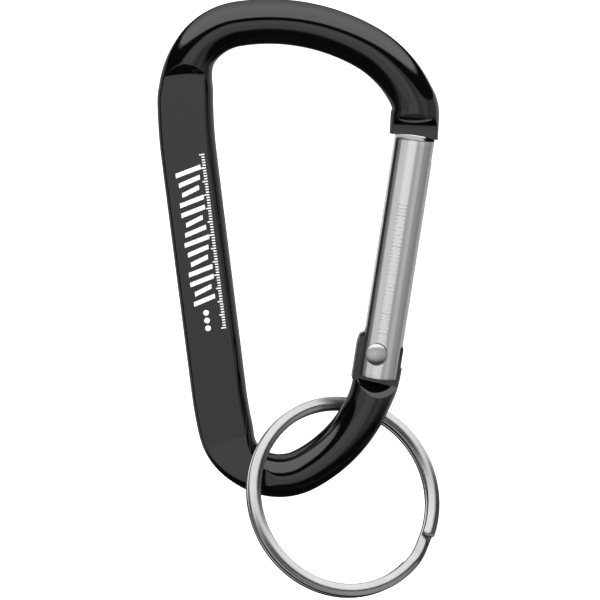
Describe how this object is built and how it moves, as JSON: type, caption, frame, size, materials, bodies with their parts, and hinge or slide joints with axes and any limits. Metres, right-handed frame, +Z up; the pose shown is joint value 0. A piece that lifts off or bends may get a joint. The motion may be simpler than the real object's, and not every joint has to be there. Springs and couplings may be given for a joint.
{
  "type": "carabiner keyring",
  "caption": "Pear-shaped rod carabiner with a sprung gate that opens inward, and a split ring threaded on its bottom bow.",
  "frame": {"origin": "the highest point on the inner side of the top bow, where the clip hangs from a peg", "axes": "+Z up the clip from the hinge to the crown, +X from the spine to the gate, +Y from the front to the back, through the clip's thickness"},
  "size_m": [0.0448, 0.019, 0.0942],
  "materials": {
    "black_anodised_rod": "glossy black anodised",
    "satin_aluminium": "drawn, satin",
    "rivet_steel": "satin",
    "spring_steel": "drawn wire",
    "plunger_brass": "turned",
    "nickel_plated_steel": "nickel plated, polished"
  },
  "bodies": {
    "frame": {"frame_body": "black_anodised_rod"},
    "gate": {"gate_channel": "satin_aluminium", "hinge_rivet": "rivet_steel", "gate_spring": "spring_steel"},
    "plunger": {"spring_plunger": "plunger_brass"},
    "ring": {"split_ring": "nickel_plated_steel"}
  },
  "joints": [
    {"name": "gate_swing", "type": "hinge", "parent": "frame", "child": "gate", "pos_m": [0.01689, 0, -0.04882], "axis": [0, -1, 0], "range_deg": [0, 32], "stiffness_Nm_per_rad": 0.05, "springref_deg": -22.92},
    {"name": "plunger_slide", "type": "slide", "parent": "gate", "child": "plunger", "axis": [0.1455, 0, 0.9894], "range_m": [0, 0.0004], "deforming": ["gate_spring"]},
    {"name": "ring_swing", "type": "hinge", "parent": "frame", "child": "ring", "pos_m": [0.01184, -0.00261, -0.07218], "axis": [-0.5636, 0.2113, 0.7986], "range_deg": [0, 115]}
  ],
  "couplings": [
    {"joint": "plunger_slide", "follows": "gate_swing", "m_per_rad": 0.0007}
  ]
}
